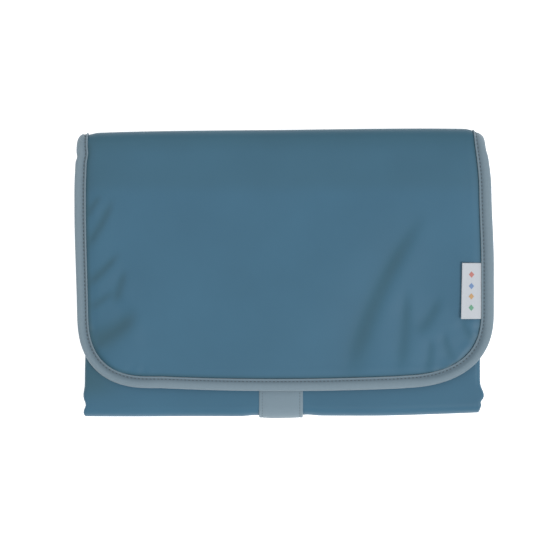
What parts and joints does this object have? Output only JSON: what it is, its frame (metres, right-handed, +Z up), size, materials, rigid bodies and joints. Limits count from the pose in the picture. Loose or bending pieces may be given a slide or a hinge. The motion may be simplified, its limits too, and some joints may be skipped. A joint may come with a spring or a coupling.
{
  "type": "folding changing pad",
  "caption": "Padded baby changing pad folded flat: back and front panels joined at a bottom fold, and a bound flap hinged at the top fold, held by a short closing strap.",
  "frame": {"origin": "centre of the folded pad's bounding box, at the level of the surface it lies on", "axes": "+X to the right along the folds, +Y from the bottom fold to the top fold, +Z up through the layers to the flap's cover"},
  "size_m": [0.315, 0.2164, 0.0242],
  "materials": {
    "shell_fabric": "smooth coated polyester with a soft satin surface, petrol blue",
    "lining_fabric": "smooth coated polyester lining, petrol blue",
    "binding_tape": "fine ribbed bias tape, grey blue, matte",
    "strap_webbing": "flat woven tape, grey blue, matte",
    "foam": "soft open-cell padding sheet, off-white",
    "hook_tape": "hook side of a touch fastener, dark grey",
    "loop_tape": "loop side of a touch fastener, dark grey",
    "label_ribbon": "woven satin ribbon, off-white"
  },
  "bodies": {
    "back": {"back_shell": "shell_fabric", "back_foam": "foam", "back_lining": "lining_fabric", "strap_back": "strap_webbing", "bottom_fold_shell": "shell_fabric", "bottom_fold_lining": "lining_fabric", "strap_turn": "strap_webbing"},
    "front": {"front_shell": "shell_fabric", "front_foam": "foam", "front_lining": "lining_fabric", "strap_front": "strap_webbing", "loop_patch": "loop_tape", "top_fold_cover": "shell_fabric", "top_fold_lining": "lining_fabric", "fold_binding_left": "binding_tape", "fold_binding_right": "binding_tape"},
    "flap": {"flap_cover": "shell_fabric", "flap_foam": "foam", "flap_lining": "lining_fabric", "flap_binding": "binding_tape", "hook_patch": "hook_tape", "side_label": "label_ribbon"}
  },
  "joints": [
    {"name": "bottom_fold", "type": "hinge", "parent": "back", "child": "front", "pos_m": [0, -0.09935, 0.0079], "axis": [1, 0, 0], "range_deg": [0, 179], "deforming": ["bottom_fold_shell", "bottom_fold_lining", "strap_turn"]},
    {"name": "flap_fold", "type": "hinge", "parent": "front", "child": "flap", "pos_m": [0, 0.1003, 0.0164], "axis": [-1, 0, 0], "range_deg": [0, 179], "deforming": ["top_fold_cover", "top_fold_lining", "fold_binding_left", "fold_binding_right"]}
  ]
}
